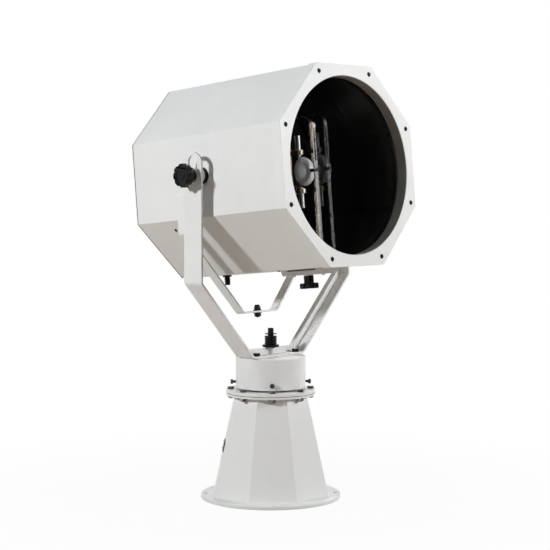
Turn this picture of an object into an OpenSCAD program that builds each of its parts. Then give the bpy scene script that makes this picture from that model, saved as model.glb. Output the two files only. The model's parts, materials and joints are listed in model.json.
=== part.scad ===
// Marine searchlight: octagonal barrel tilting in a bent strap yoke that pans on an octagonal pedestal.
// Millimetres, +Z up, origin at the centre of the base flange's underside, beam towards -Y.

/* [Pedestal] */
// Outer diameter of the round base flange
base_d = 386; // [380:1:420]
// Thickness of the base flange
base_t = 10; // [6:1:16]
// Cable opening through the base flange
base_opening_d = 200; // [120:1:240]
// From a deck bolt's centre to the flange's edge
deck_edge = 14; // [12:0.5:18]
// Diameter of a deck bolt hole
deck_hole_d = 14; // [10:0.5:16]
// Number of deck bolts
deck_holes = 4; // [4:4:8]
// Width of the pedestal shell across flats at its foot
shell_foot_af = 313; // [290:1:318]
// Width of the pedestal shell across flats at its top
shell_top_af = 197; // [185:1:198]
// Height of the pedestal shell
shell_h = 275; // [200:1:320]
// Sheet thickness of the pedestal shell
shell_wall = 4; // [2:0.5:6]

/* [Pan bearing] */
// Diameter of the bolted rings on top of the pedestal
ring_d = 246; // [244:1:260]
// Thickness of the pedestal ring
ring_t = 6; // [4:1:12]
// Thickness of the seal between the rings
flange_seal_t = 1; // [0.5:0.5:3]
// Thickness of the spindle's ring
spindle_ring_t = 9; // [6:1:14]
// Pitch circle of the ring bolts
ring_pcd = 220; // [219:0.5:222]
// Number of ring bolts
ring_bolts = 8; // [4:4:8]
// Thread diameter of the ring bolts
ring_bolt_d = 10; // [8:1:10]
// Diameter of the collar that the pan lock screws press on
collar_d = 148; // [140:1:156]
// Cable bore through the spindle
spindle_bore_d = 40; // [24:1:48]
// Bearing bore
bearing_bore_d = 70; // [66:1:72]
// Bearing outside diameter
bearing_od = 110; // [108:1:114]
// Width of one of the two bearings
bearing_w = 18; // [14:1:19]
// Diameter of a bearing ball
ball_d = 9; // [8:0.5:10]
// Balls in each bearing
balls = 12; // [8:1:16]

/* [Turntable] */
// Outside diameter of the turntable drum
drum_d = 193; // [186:1:196]
// Height of the turntable drum
drum_h = 87; // [85:1:110]
// Wall thickness of the drum
drum_wall = 8; // [5:0.5:10]
// Thickness of the drum's top
drum_top_t = 9; // [8:0.5:11]
// Running gap between the spindle's ring and the drum
drum_gap = 5; // [3:0.5:7]
// Rounding of the drum's top edge
drum_round = 4; // [1:0.5:6]
// Thread diameter of the pan lock screws
lock_d = 8; // [6:1:10]
// Height of the lock screws above the drum's lower edge
lock_rise = 15; // [13:0.5:16]
// Gap between a lock screw's head and the drum
lock_standoff = 9; // [2:0.5:16]

/* [Yoke] */
// Width of the yoke strap
yoke_w = 65; // [60:1:72]
// Thickness of the yoke strap
yoke_t = 6; // [4:0.5:8]
// Half length of the yoke's flat foot
yoke_foot = 101; // [96:1:116]
// Height of the barrel's underside, when level, above the drum's top
barrel_clear = 232.5; // [220:0.5:280]
// Length of the arms below the barrel's underside
arm_below = 20.5; // [10:0.5:40]
// Height of the arm's round end above the tilt axis
arm_head = 62; // [58:1:74]
// Width of the open slot in the arm
slot_w = 32; // [30:0.5:34]
// Inside bend radius of the yoke strap
yoke_bend_r = 8; // [4:0.5:14]
// Thickness of the stiffening rib inside the yoke
rib_t = 6; // [3:0.5:8]
// Thread diameter of the yoke bolts
yoke_bolt_d = 12; // [8:1:12]
// Yoke bolt distance from the pan axis along the foot
yoke_bolt_x = 79; // [76:0.5:80]
// Yoke bolt distance from the pan axis across the foot
yoke_bolt_y = 21; // [19:0.5:22]

/* [Cable boot] */
// Outside diameter of the cable nipple
nipple_d = 22.6; // [20:0.2:26]
// Cable bore of the nipple
nipple_bore_d = 14; // [11:0.5:16]
// Height of the nipple above the yoke's foot
nipple_h = 18; // [12:1:24]
// Diameter of the boot's flange
boot_flange_d = 46; // [38:1:54]
// Thickness of the boot's flange
boot_flange_t = 6; // [3:0.5:8]
// Diameter of the boot's ribs
boot_d = 34; // [30:0.5:36]
// Height of the ribbed part
boot_rib_h = 24; // [18:1:32]
// Number of ribs
boot_ribs = 4; // [3:1:5]
// Diameter of the boot's neck
boot_neck_d = 16; // [14:0.5:20]
// Height of the boot's neck
boot_neck_h = 22; // [14:1:26]

/* [Barrel] */
// Upward tilt of the barrel as drawn
tilt = 5.5; // [0:0.5:30]
// Diameter of the beam opening
opening_d = 472; // [430:1:500]
// Width of the barrel's end face beside the opening
end_land = 26.5; // [25:0.5:36]
// Sheet thickness of the barrel
barrel_wall = 2.5; // [1.5:0.5:4]
// Distance from the tilt axis to the barrel's front edge
front_reach = 284; // [270:1:310]
// Distance from the tilt axis to the barrel's rear edge
rear_reach = 262; // [250:1:300]
// Depth of the bezel's skirt
skirt_depth = 26; // [16:1:40]
// Sheet thickness of the bezel and the rear cover
cover_t = 2; // [1.5:0.5:4]
// Thickness of the rubber seals under the covers
cover_seal_t = 2; // [1:0.5:4]
// Depth of the collar around the beam opening
collar_depth = 11; // [6:1:14]
// Visible depth of the glass ring behind the collar
glass_ring_depth = 19; // [12:1:26]
// Thickness of the front glass
glass_t = 5; // [3:0.5:8]
// Distance of a cover screw from its facet's corner, along the facet
screw_corner = 7.7; // [5:0.1:12]
// Distance of a cover screw from its facet
screw_edge = 19; // [16:0.5:22]

/* [Trunnions] */
// Gap between the barrel's side and the yoke arm
trunnion_gap = 31.5; // [26:0.5:40]
// Diameter of the trunnion boss
boss_d = 40; // [38:0.5:46]
// Thread diameter of the trunnion studs
stud_d = 12; // [10:1:14]
// Diameter of the star knobs
knob_d = 63; // [50:1:70]
// Diameter of the knob hubs
knob_hub_d = 27; // [24:1:32]
// Length of the knob hubs
knob_hub_h = 20; // [12:1:26]
// Depth of the star head
knob_head_h = 18; // [14:1:22]

/* [Elevating bracket] */
// Width of the bracket strap
bracket_w = 30; // [24:1:40]
// Thickness of the bracket strap
bracket_t = 5; // [3:0.5:6]
// Distance of the bracket behind the tilt axis
bracket_back = 86; // [78:1:100]
// Gap between the barrel and the bracket's foot
bracket_clear = 104.5; // [80:0.5:115]
// Half length of the bracket's foot
bracket_foot = 68; // [50:1:80]
// Length of the bracket's uprights below the barrel's side facets
bracket_below = 39; // [30:1:50]
// Thread diameter of the bracket bolt
bracket_bolt_d = 10; // [8:1:12]

/* [Optics and focus] */
// Focal length of the reflector
focal = 200; // [180:1:220]
// How far the reflector's edge lies inside the beam opening
reflector_inset = 11; // [9:0.5:20]
// Distance of the reflector's rim behind the tilt axis
rim_back = 29; // [26:0.5:36]
// Radius of the shield mirror's dome
shield_r = 42; // [36:0.5:44]
// Rim diameter of the shield mirror
shield_d = 78; // [60:1:80]
// Distance of the lamp post in front of the lamp
post_fwd = 58; // [56:1:62]
// Height of the lamp post above the lamp
post_rise = 128; // [120:1:140]
// Focusing travel each way
focus_travel = 15; // [5:1:15]
// Length of the focus rail tray
rail_len = 149; // [140:1:170]
// Width of the focus rail tray
rail_w = 60; // [50:1:80]
// Depth of the focus rail tray
rail_h = 16; // [12:1:22]
// Diameter of the focus knob
focus_knob_d = 51; // [42:1:60]
// Diameter of the cable gland's ribs
gland_d = 17.5; // [15:0.5:20]
// Distance of the cable gland behind the tilt axis
gland_back = 194; // [180:1:205]

/* [Hidden] */
$fn = 64;

// clearances: pieces that touch, holes over bolts, pieces that run past each other
fit = 0.05;
bolt_play = 0.3;
run = 0.3;
eps = 1;

white = [0.86, 0.86, 0.84];
black = [0.05, 0.05, 0.05];
steel = [0.62, 0.62, 0.60];
brass = [0.72, 0.55, 0.26];

// barrel across flats and the half width of one of its facets
barrel_af = opening_d + 2 * end_land;
half_facet = tan(22.5) * barrel_af / 2;

// heights up the pan axis
ring_z = base_t + shell_h;
spindle_z = ring_z + ring_t + flange_seal_t;
collar_z = spindle_z + spindle_ring_t;
drum_z = collar_z + drum_gap;
drum_top = drum_z + drum_h;
foot_top = drum_top + yoke_t;
axis_z = drum_top + barrel_clear + barrel_af / 2;
lock_z = drum_z + lock_rise;
collar_h = drum_gap + lock_rise + 6;
bearing_top = drum_top - drum_top_t - 10;
bearing_z = bearing_top - 2 * bearing_w;
spindle_top = bearing_top + 8;

// pan bearing
retainer_t = 6;
retainer_screws_n = 4;
shoulder_r = bearing_bore_d / 2 + 5;
race_r = (bearing_bore_d + bearing_od) / 4;
race_gap = 3;
groove_r = ball_d / 2 + run;
housing_r = bearing_od / 2 + 8;
thread_r = bearing_bore_d / 2 - 2;
seal_bore_r = 50;
nut_t = 8;
ring_head_t = 6.4;
ring_af = 1.6 * ring_bolt_d;
retainer_screw_d = 4;
retainer_pcr = bearing_od / 4 + housing_r / 2;
retainer_head_t = 3;
lock_af = 1.65 * lock_d;
lock_head_t = 5.5;
lock_count = 4;

// yoke
arm_drop = barrel_af / 2 + arm_below;
arm_in = barrel_af / 2 + trunnion_gap;
arm_out = arm_in + yoke_t;
slot_rim = 10;
slot_rise = arm_head - slot_w / 2 - slot_rim;
bend_steps = 8;
rib_gap = 1;
rib_h = nipple_h - rib_gap;
yoke_bolt_head = 8;

// barrel, distances forward of the tilt axis
bezel_front = front_reach + cover_seal_t + cover_t;
skirt_gap = 0.5;
bezel_af = barrel_af + 2 * (skirt_gap + cover_t);
inner_af = barrel_af - 2 * barrel_wall;
lip_t = 3;
glass_seal_t = 1.5;
glass_front = bezel_front - collar_depth - glass_seal_t - glass_ring_depth;
glass_back = glass_front - glass_t;
ring_web = 7;
sleeve_t = 3;
collar_t = 2;
sleeve_r = opening_d / 2 + ring_web;
ring_r = sleeve_r + sleeve_t;
lip_bore_r = ring_r + 1;
retainer_ring_t = 2;
cover_screw_d = 6;
cover_head_d = 10;
cover_head_t = 3.5;
cover_screw_x = half_facet - screw_corner;
cover_screw_y = barrel_af / 2 - screw_edge;
cover_spots = [for (q = [0:90:270], s = [-1, 1]) [q, s]];

// reflector
reflector_d = opening_d - 2 * reflector_inset;
rim_fwd = -rim_back;
bowl_depth = reflector_d * reflector_d / 16 / focal;
lamp_fwd = rim_fwd - bowl_depth + focal;
mirror_t = 2;
rim_w = 10;
bulkhead_t = 3;
reflector_screws_n = 6;
mirror_steps = 10;

// trunnions and clamp knobs
spigot_d = 20;
trunnion_nut_t = 10;
washer_t = 3;
washer_d = slot_w + 8;
washer_x = arm_out + run;
knob_x = washer_x + washer_t + run;
stud_len = knob_hub_h + knob_head_h - 4;
lobes = 8;
lobe_r = 9;

// elevating bracket
bracket_x = barrel_af / 2 + bracket_t;
bracket_drop = barrel_af / 2 + bracket_clear + bracket_t;
bracket_bend = half_facet + bracket_below;
bracket_tab = 103;
bracket_top = bracket_bend - bracket_tab;
bracket_bend_r = 6;
bracket_hole_edge = 12;
bracket_hole_pitch = 36;
bracket_holes = [bracket_top + bracket_hole_edge, bracket_top + bracket_hole_edge + bracket_hole_pitch];
bracket_screw_d = 8;
bracket_thread = bracket_t - 1;
bracket_head_t = 4;
bracket_washer_t = 2.5;
bracket_nut_af = 1.7 * bracket_bolt_d;

// focus rail, lamp carriage and gland, depths below the tilt axis
floor_up = -inner_af / 2;
belly_up = -barrel_af / 2;
rail_fwd = lamp_fwd + 5;
rail_wall = 2.5;
rail_bottom = belly_up - rail_h;
rail_vent_drop = 1;
rail_vent_h = 3;
rail_vent_end = 24;
rail_screw_end = 22;
focus_d = 10;
carriage_w = 50;
carriage_t = 5;
carriage_up = floor_up + run;
deck_up = carriage_up + carriage_t;
frame_back = 38;
carriage_tail = 14;
carriage_back = lamp_fwd - frame_back - carriage_tail;
carriage_front = lamp_fwd + post_fwd + 8;
guide_t = 6;
guide_lip = 6;
post_w = 14;
post_t = 4;
post_slot_w = 6;
frame_t = 8;
frame_w = 16;
eye_d = 28;
eye_t = 12;
eye_up = 52;
cap_d = 14;
cap_h = 56;
cap_up = 42;
stem_d = 10;
bulb_d = 26;
strap_t = 2;
strap_rise = 22;
strap_sink = 0.6;
strap_w = 10;
post_hole_up = post_rise - 10;
foot_hole = 18;
small_screw_d = 5;
focus_washer_t = 1.5;
focus_hub_h = 20;
focus_head_h = 15;
focus_top = rail_bottom - run - focus_washer_t - run;
gland_hex_t = 5;
gland_h = 23;
gland_bore_d = 9;
gland_thread_d = 0.9 * gland_d;

module hex(af, h) {
  cylinder(d = af / cos(30), h = h, $fn = 6);
}

module octa(af, h) {
  rotate(22.5)
    cylinder(d = af / cos(22.5), h = h, $fn = 8);
}

module tube(r_out, r_in, h) {
  difference() {
    cylinder(r = r_out, h = h);
    translate([0, 0, -eps])
      cylinder(r = r_in, h = h + 2 * eps);
  }
}

module ring_of(n, r, first = 0) {
  for (i = [0:n - 1])
    rotate(first + i * 360 / n)
      translate([r, 0, 0])
        children();
}

// octagonal frustum cut from four wedges, flats towards the axes and diagonals
module frustum(af_low, af_high, h) {
  intersection_for (a = [0:45:135])
    rotate(a)
      rotate([90, 0, 0])
        linear_extrude(height = 2 * af_low, center = true)
          polygon([[-af_low / 2, 0], [af_low / 2, 0], [af_high / 2, h], [-af_high / 2, h]]);
}

function arc(c, r, from, to) = [for (i = [0:bend_steps]) c + r * unit(from + (to - from) * i / bend_steps)];
function unit(a) = [cos(a), sin(a)];

// U bent from flat strap, seen along the bends: foot, bend, sloping run, bend, upright to z_top on both sides
module strap_outline(foot, z_foot, x_out, z_bend, z_top, t, r_in) {
  r_out = r_in + t;
  turn = atan2(z_bend - z_foot, x_out - foot);
  low = [foot - r_out * tan(turn / 2), z_foot + r_out];
  high = [x_out - r_out, z_bend + r_out * tan((90 - turn) / 2)];
  right = concat(
    arc(low, r_out, -90, turn - 90),
    arc(high, r_out, turn - 90, 0),
    [[x_out, z_top], [x_out - t, z_top]],
    arc(high, r_in, 0, turn - 90),
    arc(low, r_in, turn - 90, -90)
  );
  left = [for (i = [len(right) - 1:-1:0]) [-right[i][0], right[i][1]]];
  polygon(concat(right, left));
}

module both_sides() {
  children();
  mirror([1, 0, 0])
    children();
}

// frame of the tilted barrel: inside it x is across, y up and z forward along the beam
module on_barrel() {
  translate([0, 0, axis_z])
    rotate([90 - tilt, 0, 0])
      children();
}

// frame at a point of the barrel with z pointing down, away from the beam axis
module facing_down(up, fwd) {
  translate([0, up, fwd])
    rotate([90, 0, 0])
      children();
}

module sideways(x) {
  translate([x, 0, 0])
    rotate([0, 90, 0])
      children();
}

module at_cover_screws() {
  for (spot = cover_spots)
    rotate(spot[0])
      translate([spot[1] * cover_screw_x, cover_screw_y, 0])
        children();
}

module cover_screw(grip) {
  cylinder(d = cover_head_d, h = cover_head_t);
  translate([0, 0, -grip])
    cylinder(d = cover_screw_d, h = grip + eps);
}

module stadium(d, len, h) {
  for (s = [-1, 1])
    translate([0, s * len / 2, 0])
      cylinder(d = d, h = h);
  translate([-d / 2, -len / 2, 0])
    cube([d, len, h]);
}

module base_flange() {
  color(white)
    difference() {
      cylinder(d = base_d, h = base_t, $fn = 96);
      translate([0, 0, -eps])
        cylinder(d = base_opening_d, h = base_t + 2 * eps);
      translate([0, 0, -eps])
        ring_of(deck_holes, base_d / 2 - deck_edge, 45)
          cylinder(d = deck_hole_d, h = base_t + 2 * eps, $fn = 32);
    }
}

module pedestal_shell() {
  grow = (shell_foot_af - shell_top_af) / shell_h * eps;
  color(white)
    translate([0, 0, base_t])
      difference() {
        frustum(shell_foot_af, shell_top_af, shell_h);
        translate([0, 0, -eps])
          frustum(
            shell_foot_af - 2 * shell_wall + grow,
            shell_top_af - 2 * shell_wall - grow,
            shell_h + 2 * eps
          );
      }
}

module ring_holes(h) {
  translate([0, 0, -eps])
    ring_of(ring_bolts, ring_pcd / 2)
      cylinder(d = ring_bolt_d + 2 * bolt_play, h = h + 2 * eps, $fn = 32);
}

module pedestal_ring() {
  color(white)
    translate([0, 0, ring_z])
      difference() {
        tube(ring_d / 2, seal_bore_r, ring_t, $fn = 96);
        ring_holes(ring_t);
      }
}

module flange_seal() {
  color(black)
    translate([0, 0, ring_z + ring_t])
      difference() {
        tube(ring_d / 2 - 1, seal_bore_r, flange_seal_t, $fn = 96);
        ring_holes(flange_seal_t);
      }
}

module spindle() {
  color(white)
    difference() {
      union() {
        translate([0, 0, spindle_z])
          cylinder(d = ring_d, h = spindle_ring_t, $fn = 96);
        translate([0, 0, spindle_z])
          cylinder(d = collar_d, h = spindle_ring_t + collar_h);
        translate([0, 0, spindle_z])
          cylinder(r = shoulder_r, h = bearing_z - spindle_z);
        translate([0, 0, spindle_z])
          cylinder(d = bearing_bore_d, h = bearing_top - spindle_z);
        translate([0, 0, spindle_z])
          cylinder(r = thread_r, h = spindle_top - spindle_z);
      }
      translate([0, 0, spindle_z - eps])
        cylinder(d = spindle_bore_d, h = spindle_top - spindle_z + 2 * eps);
      translate([0, 0, spindle_z])
        ring_holes(spindle_ring_t);
    }
}

module ring_bolts() {
  color(steel)
    ring_of(ring_bolts, ring_pcd / 2) {
      translate([0, 0, collar_z])
        hex(ring_af, ring_head_t);
      translate([0, 0, ring_z - nut_t - 2])
        cylinder(d = ring_bolt_d, h = collar_z - ring_z + nut_t + 2 + eps, $fn = 32);
    }
}

module ring_nuts() {
  color(steel)
    translate([0, 0, ring_z - nut_t])
      ring_of(ring_bolts, ring_pcd / 2)
        difference() {
          rotate(30)
            hex(ring_af, nut_t);
          translate([0, 0, -eps])
            cylinder(d = ring_bolt_d + 2 * fit, h = nut_t + 2 * eps, $fn = 32);
        }
}

module bearing_ring(r_in, r_out) {
  for (i = [0, 1])
    translate([0, 0, bearing_z + i * bearing_w])
      rotate_extrude()
        difference() {
          translate([r_in, 0])
            square([r_out - r_in, bearing_w]);
          translate([race_r, bearing_w / 2])
            circle(r = groove_r);
        }
}

module bearing_inner_rings() {
  color(steel)
    bearing_ring(bearing_bore_d / 2 + fit, race_r - race_gap);
}

module bearing_balls() {
  color(steel)
    for (i = [0, 1])
      translate([0, 0, bearing_z + (i + 0.5) * bearing_w])
        ring_of(balls, race_r, i * 180 / balls)
          sphere(d = ball_d, $fn = 20);
}

module spindle_nut() {
  color(steel)
    translate([0, 0, bearing_top])
      difference() {
        tube(race_r - race_gap - 1, thread_r + fit, spindle_top - bearing_top);
        ring_of(4, race_r - race_gap - 3)
          translate([0, -3, -eps])
            cube([10, 6, spindle_top]);
      }
}

module drum_profile() {
  top = drum_top - drum_z;
  translate([drum_d / 2 - drum_wall, 0])
    square([drum_wall, top - drum_round]);
  translate([nipple_d / 2 + fit, top - drum_top_t])
    square([drum_d / 2 - drum_round - nipple_d / 2 - fit, drum_top_t]);
  translate([drum_d / 2 - drum_round, top - drum_round])
    circle(r = drum_round);
  translate([bearing_od / 2 + fit, bearing_z - drum_z])
    square([housing_r - bearing_od / 2 - fit, top - drum_top_t - bearing_z + drum_z]);
  translate([bearing_od / 2 - 4, bearing_top - drum_z])
    square([4 + fit, top - drum_top_t - bearing_top + drum_z]);
}

module at_lock_screws() {
  translate([0, 0, lock_z])
    ring_of(lock_count, 0, 45)
      rotate([0, 90, 0])
        children();
}

module at_yoke_bolts(z) {
  for (sx = [-1, 1], sy = [-1, 1])
    translate([sx * yoke_bolt_x, sy * yoke_bolt_y, z])
      children();
}

module at_retainer_screws(z) {
  translate([0, 0, z])
    ring_of(retainer_screws_n, retainer_pcr)
      children();
}

module turntable_drum() {
  color(white)
    difference() {
      translate([0, 0, drum_z])
        rotate_extrude($fn = 96)
          drum_profile();
      at_lock_screws()
        translate([0, 0, collar_d / 2 + 2])
          cylinder(d = lock_d + 2 * fit, h = drum_d / 2, $fn = 32);
      at_yoke_bolts(drum_top - drum_top_t - eps)
        cylinder(d = yoke_bolt_d + 2 * fit, h = drum_top_t + 2 * eps, $fn = 32);
      at_retainer_screws(bearing_z - eps)
        cylinder(d = retainer_screw_d + 2 * fit, h = 12 + eps, $fn = 24);
    }
}

module bearing_outer_rings() {
  color(steel)
    bearing_ring(race_r + race_gap, bearing_od / 2);
}

module bearing_retainer() {
  color(steel)
    translate([0, 0, bearing_z - retainer_t])
      difference() {
        tube(housing_r, race_r + race_gap - 1, retainer_t);
        at_retainer_screws(-eps)
          cylinder(d = retainer_screw_d + 2 * bolt_play, h = retainer_t + 2 * eps, $fn = 24);
      }
}

module retainer_screws() {
  color(steel)
    at_retainer_screws(bearing_z - retainer_t - retainer_head_t) {
      cylinder(d = 1.8 * retainer_screw_d, h = retainer_head_t, $fn = 24);
      cylinder(d = retainer_screw_d, h = retainer_head_t + retainer_t + 10, $fn = 24);
    }
}

module pan_lock_screws() {
  tip = collar_d / 2 + run;
  head = drum_d / 2 + lock_standoff;
  color(steel)
    at_lock_screws() {
      translate([0, 0, tip])
        cylinder(d = lock_d, h = head - tip + eps, $fn = 32);
      translate([0, 0, head])
        hex(lock_af, lock_head_t);
    }
}

module yoke() {
  color(white)
    difference() {
      union() {
        intersection() {
          rotate([90, 0, 0])
            linear_extrude(height = yoke_w, center = true)
              strap_outline(
                yoke_foot, drum_top, arm_out, axis_z - arm_drop,
                axis_z + arm_head, yoke_t, yoke_bend_r
              );
          rotate([90, 0, 90])
            linear_extrude(height = 2 * arm_out + 2 * eps, center = true)
              arm_outline();
        }
        rotate([90, 0, 0])
          linear_extrude(height = rib_t, center = true)
            rib_outline();
      }
      translate([0, 0, axis_z])
        rotate([90, 0, 90])
          linear_extrude(height = 2 * arm_out + 2 * eps, center = true)
            arm_slot();
      translate([0, 0, drum_top - eps])
        cylinder(d = nipple_d + 2 * bolt_play, h = yoke_t + rib_h + 2 * eps);
      at_yoke_bolts(drum_top - eps)
        cylinder(d = yoke_bolt_d + 2 * bolt_play, h = yoke_t + 2 * eps, $fn = 32);
    }
}

// side view of the yoke: strap width with a round upper end
module arm_outline() {
  round_z = axis_z + arm_head - yoke_w / 2;
  translate([-yoke_w / 2, drum_top - eps])
    square([yoke_w, round_z - drum_top + eps]);
  translate([0, round_z])
    circle(d = yoke_w);
}

// rib standing on the foot and the sloping runs, its outer edge buried to half the strap's thickness
module rib_outline() {
  rise = axis_z - arm_drop - drum_top;
  lean = (arm_out - yoke_foot) / rise;
  across = norm([1, lean]);
  buried = yoke_t / 2;
  free = yoke_t + rib_h;
  x_foot = yoke_foot + buried * (lean - across);
  x_free = yoke_foot + free * (lean - across);
  z_arm = axis_z - arm_drop + buried * (across - 1) / lean;
  z_end = drum_top + (arm_in - yoke_foot + free * across) / lean;
  right = [
    [x_foot, drum_top + buried],
    [arm_out - buried, z_arm],
    [arm_out - buried, z_end],
    [arm_in, z_end],
    [x_free, drum_top + free]
  ];
  left = [for (i = [len(right) - 1:-1:0]) [-right[i][0], right[i][1]]];
  polygon(concat(right, left));
}

module arm_slot() {
  circle(d = slot_w);
  translate([0, slot_rise])
    circle(d = slot_w);
  translate([-slot_w / 2, 0])
    square([slot_w, slot_rise]);
}

module yoke_bolts() {
  color(black) {
    at_yoke_bolts(foot_top)
      rotate(30)
        hex(1.55 * yoke_bolt_d, yoke_bolt_head);
    at_yoke_bolts(drum_top - drum_top_t)
      cylinder(d = yoke_bolt_d, h = drum_top_t + yoke_t + eps, $fn = 32);
  }
}

module cable_nipple() {
  low = drum_top - drum_top_t;
  color(white)
    translate([0, 0, low])
      tube(nipple_d / 2, nipple_bore_d / 2, foot_top + nipple_h - low);
}

module cable_boot() {
  spigot = 8;
  rib_pitch = boot_rib_h / boot_ribs;
  disc_z = boot_flange_t + boot_rib_h + boot_neck_h / 4;
  color(black)
    translate([0, 0, foot_top + nipple_h])
      difference() {
        union() {
          translate([0, 0, -spigot])
            cylinder(d = nipple_bore_d - 2 * fit, h = spigot + eps, $fn = 32);
          cylinder(d = boot_flange_d, h = boot_flange_t);
          cylinder(d = boot_d - 5, h = boot_flange_t + boot_rib_h);
          for (i = [0:boot_ribs - 1])
            translate([0, 0, boot_flange_t + (i + 0.35) * rib_pitch])
              cylinder(d = boot_d, h = 0.65 * rib_pitch);
          cylinder(d = boot_neck_d, h = boot_flange_t + boot_rib_h + boot_neck_h);
          translate([0, 0, disc_z])
            cylinder(d = boot_d, h = 1.5);
        }
        translate([0, 0, -spigot - eps])
          cylinder(d = nipple_bore_d - 4, h = 2 * spigot + boot_flange_t + boot_rib_h + boot_neck_h);
      }
}

module barrel_shell() {
  len = front_reach + rear_reach;
  color(white)
    on_barrel()
      difference() {
        union() {
          translate([0, 0, -rear_reach])
            difference() {
              octa(barrel_af, len);
              translate([0, 0, -eps])
                octa(inner_af, len + 2 * eps);
            }
          translate([0, 0, front_reach - lip_t])
            barrel_lip();
          translate([0, 0, -rear_reach])
            barrel_lip();
        }
        both_sides()
          sideways(inner_af / 2 - eps)
            cylinder(d = spigot_d + 2 * fit, h = barrel_wall + 2 * eps);
        both_sides()
          at_bracket_screws(inner_af / 2 - eps)
            cylinder(d = bracket_screw_d + 2 * bolt_play, h = barrel_wall + 2 * eps, $fn = 32);
        facing_down(floor_up + eps, rail_fwd)
          focus_slot(barrel_wall + 2 * eps);
        facing_down(floor_up + eps, -gland_back)
          cylinder(d = gland_thread_d + 2 * fit, h = barrel_wall + 2 * eps, $fn = 32);
        at_rail_screws(floor_up + eps)
          cylinder(d = small_screw_d + 2 * fit, h = barrel_wall + 2 * eps, $fn = 24);
      }
}

module barrel_lip() {
  difference() {
    octa(inner_af + barrel_wall, lip_t);
    translate([0, 0, -eps])
      cylinder(r = lip_bore_r, h = lip_t + 2 * eps, $fn = 96);
    translate([0, 0, -eps])
      at_cover_screws()
        cylinder(d = cover_screw_d + 2 * fit, h = lip_t + 2 * eps, $fn = 24);
  }
}

module focus_slot(h) {
  stadium(focus_d + 2, 2 * focus_travel, h);
}

module front_bezel() {
  back = bezel_front - skirt_depth;
  color(white)
    on_barrel()
      difference() {
        union() {
          difference() {
            translate([0, 0, back])
              octa(bezel_af, skirt_depth);
            translate([0, 0, back - eps])
              octa(bezel_af - 2 * cover_t, skirt_depth - cover_t + eps);
          }
          translate([0, 0, bezel_front - collar_depth])
            cylinder(r = opening_d / 2 + collar_t, h = collar_depth, $fn = 96);
        }
        translate([0, 0, back - eps])
          cylinder(d = opening_d, h = skirt_depth + 2 * eps, $fn = 96);
        translate([0, 0, bezel_front - cover_t - eps])
          at_cover_screws()
            cylinder(d = cover_screw_d + 2 * bolt_play, h = cover_t + 2 * eps, $fn = 24);
      }
}

module cover_gasket() {
  difference() {
    octa(barrel_af - 1, cover_seal_t);
    translate([0, 0, -eps])
      cylinder(r = lip_bore_r, h = cover_seal_t + 2 * eps, $fn = 96);
    translate([0, 0, -eps])
      at_cover_screws()
        cylinder(d = cover_screw_d + 2 * bolt_play, h = cover_seal_t + 2 * eps, $fn = 24);
  }
}

module bezel_seal() {
  color(black)
    on_barrel()
      translate([0, 0, front_reach])
        cover_gasket();
}

module glass_seal() {
  color(black)
    on_barrel()
      translate([0, 0, bezel_front - collar_depth - glass_seal_t])
        tube(sleeve_r - fit, opening_d / 2 + 0.5, glass_seal_t, $fn = 96);
}

module glass_ring() {
  front = bezel_front - collar_depth - glass_seal_t;
  color(black)
    on_barrel() {
      translate([0, 0, glass_back])
        tube(ring_r, sleeve_r, bezel_front - cover_t - glass_back, $fn = 96);
      translate([0, 0, glass_front])
        tube(sleeve_r + eps, opening_d / 2, front - glass_front, $fn = 96);
    }
}

module front_glass() {
  color([0.8, 0.85, 0.85, 0.4])
    on_barrel()
      translate([0, 0, glass_back])
        cylinder(r = sleeve_r - fit, h = glass_t, $fn = 96);
}

module glass_retainer() {
  color(steel)
    on_barrel()
      translate([0, 0, glass_back - retainer_ring_t])
        tube(ring_r, opening_d / 2 + 1, retainer_ring_t, $fn = 96);
}

module bezel_screws() {
  color(black)
    on_barrel()
      translate([0, 0, bezel_front])
        at_cover_screws()
          cover_screw(cover_t + cover_seal_t + lip_t + 4);
}

module rear_cover() {
  color(white)
    on_barrel()
      translate([0, 0, -rear_reach - cover_seal_t - cover_t])
        difference() {
          octa(barrel_af, cover_t);
          translate([0, 0, -eps])
            at_cover_screws()
              cylinder(d = cover_screw_d + 2 * bolt_play, h = cover_t + 2 * eps, $fn = 24);
        }
}

module rear_seal() {
  color(black)
    on_barrel()
      translate([0, 0, -rear_reach - cover_seal_t])
        cover_gasket();
}

module rear_screws() {
  color(black)
    on_barrel()
      translate([0, 0, -rear_reach - cover_seal_t - cover_t])
        mirror([0, 0, 1])
          at_cover_screws()
            cover_screw(cover_t + cover_seal_t + lip_t + 4);
}

// parabolic bowl of straight conical bands with a flat rim
module reflector() {
  rim_r = reflector_d / 2;
  bowl = [for (i = [0:mirror_steps]) let (r = rim_r * i / mirror_steps) [r, r * r / 4 / focal]];
  back = [for (i = [mirror_steps:-1:0]) bowl[i] - [0, mirror_t]];
  color(steel)
    on_barrel()
      translate([0, 0, lamp_fwd - focal])
        rotate_extrude($fn = 96) {
          polygon(concat(bowl, back));
          translate([rim_r - 2, bowl[mirror_steps][1] - mirror_t])
            square([rim_w + 2, mirror_t]);
        }
}

module reflector_bulkhead() {
  color(black)
    on_barrel()
      translate([0, 0, rim_fwd - mirror_t - bulkhead_t])
        difference() {
          octa(inner_af - 2 * fit, bulkhead_t);
          translate([0, 0, -eps])
            cylinder(d = reflector_d + 4, h = bulkhead_t + 2 * eps, $fn = 96);
          translate([0, 0, -eps])
            at_reflector_screws()
              cylinder(d = small_screw_d + 2 * fit, h = bulkhead_t + 2 * eps, $fn = 24);
        }
}

module at_reflector_screws() {
  ring_of(reflector_screws_n, reflector_d / 2 + rim_w + small_screw_d / 2 + 0.5, 30)
    children();
}

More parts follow.
